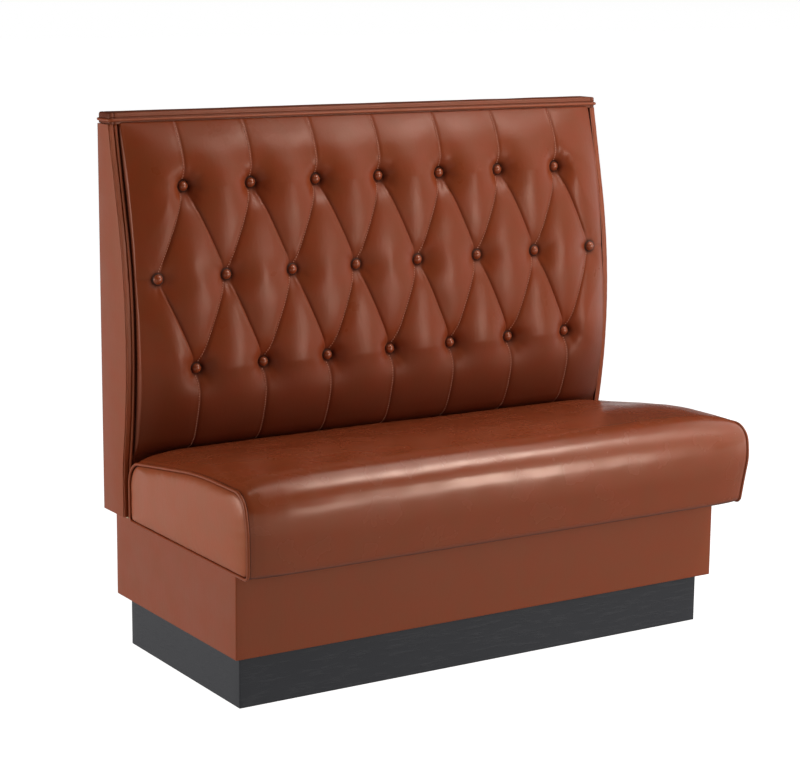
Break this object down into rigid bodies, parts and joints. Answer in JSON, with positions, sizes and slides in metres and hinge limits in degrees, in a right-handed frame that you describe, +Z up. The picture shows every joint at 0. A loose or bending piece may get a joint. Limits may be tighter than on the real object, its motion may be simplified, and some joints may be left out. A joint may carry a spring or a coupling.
{
  "type": "restaurant booth seating",
  "caption": "Free-standing single restaurant booth bench with a deep-buttoned diamond-tufted back, waterfall spring seat and recessed toe kick.",
  "frame": {"origin": "on the floor, under the middle of the bounding box", "axes": "+X along the booth to the right of someone facing it, -Y the front that one sits on, +Z up"},
  "size_m": [1.168, 0.6033, 1.067],
  "materials": {
    "brown_vinyl": "smooth cognac-brown upholstery vinyl, semi-gloss",
    "cushion_vinyl": "the same cognac-brown coated upholstery fabric over foam",
    "dark_vinyl": "charcoal toe-kick vinyl, satin with fine creases",
    "plywood": "raw birch plywood, sanded",
    "hardwood": "raw planed hardwood",
    "foam": "open-cell upholstery foam",
    "felt": "grey needled felt",
    "black_cambric": "black spunbond dust cover",
    "twine": "waxed tufting twine",
    "nylon": "moulded nylon",
    "spring_wire": "black phosphated spring wire",
    "zinc_steel": "bright zinc-plated steel"
  },
  "bodies": {
    "booth": {"plinth_front_board": "plywood", "plinth_rear_board": "plywood", "plinth_left_board": "plywood", "plinth_right_board": "plywood", "plinth_cross_members": "hardwood", "plinth_corner_blocks": "hardwood", "floor_glides": "nylon", "plinth_cover": "dark_vinyl", "base_floor_panel": "plywood", "base_front_board": "plywood", "base_rear_board": "plywood", "base_left_board": "plywood", "base_right_board": "plywood", "base_cross_ribs": "plywood", "base_deck": "plywood", "base_cover": "brown_vinyl", "deck_screws": "zinc_steel", "deck_clips": "zinc_steel", "back_left_rib": "plywood", "back_right_rib": "plywood", "back_inner_ribs": "plywood", "back_bottom_rail": "plywood", "back_top_rail": "plywood", "back_blocking": "plywood", "back_first_foam": "foam", "tufting_board": "plywood", "back_left_end_panel": "plywood", "back_right_end_panel": "plywood", "back_left_end_cover": "brown_vinyl", "back_right_end_cover": "brown_vinyl", "back_left_welt": "brown_vinyl", "back_right_welt": "brown_vinyl", "back_rear_panel": "plywood", "back_rear_cover": "brown_vinyl", "back_cushion": "cushion_vinyl", "back_buttons": "brown_vinyl", "button_ties": "twine", "back_bolts": "zinc_steel", "back_washers": "zinc_steel", "back_tee_nuts": "zinc_steel", "rib_brackets": "zinc_steel", "cap_cover": "brown_vinyl", "cap_board": "plywood", "cap_welt": "brown_vinyl"},
    "seat": {"seat_front_rail": "hardwood", "seat_rear_rail": "hardwood", "seat_left_rail": "hardwood", "seat_right_rail": "hardwood", "seat_cross_rails": "hardwood", "seat_dust_cover": "black_cambric", "seat_springs": "spring_wire", "spring_clips": "zinc_steel", "seat_insulator_felt": "felt", "seat_foam": "foam", "seat_cover": "cushion_vinyl", "seat_left_boxing": "brown_vinyl", "seat_right_boxing": "brown_vinyl", "seat_left_welt": "brown_vinyl", "seat_right_welt": "brown_vinyl", "seat_clips": "zinc_steel"}
  },
  "joints": [
    {"name": "seat_slide", "type": "slide", "parent": "booth", "child": "seat", "axis": [0, -1, 0], "range_m": [0, 0.06]}
  ]
}
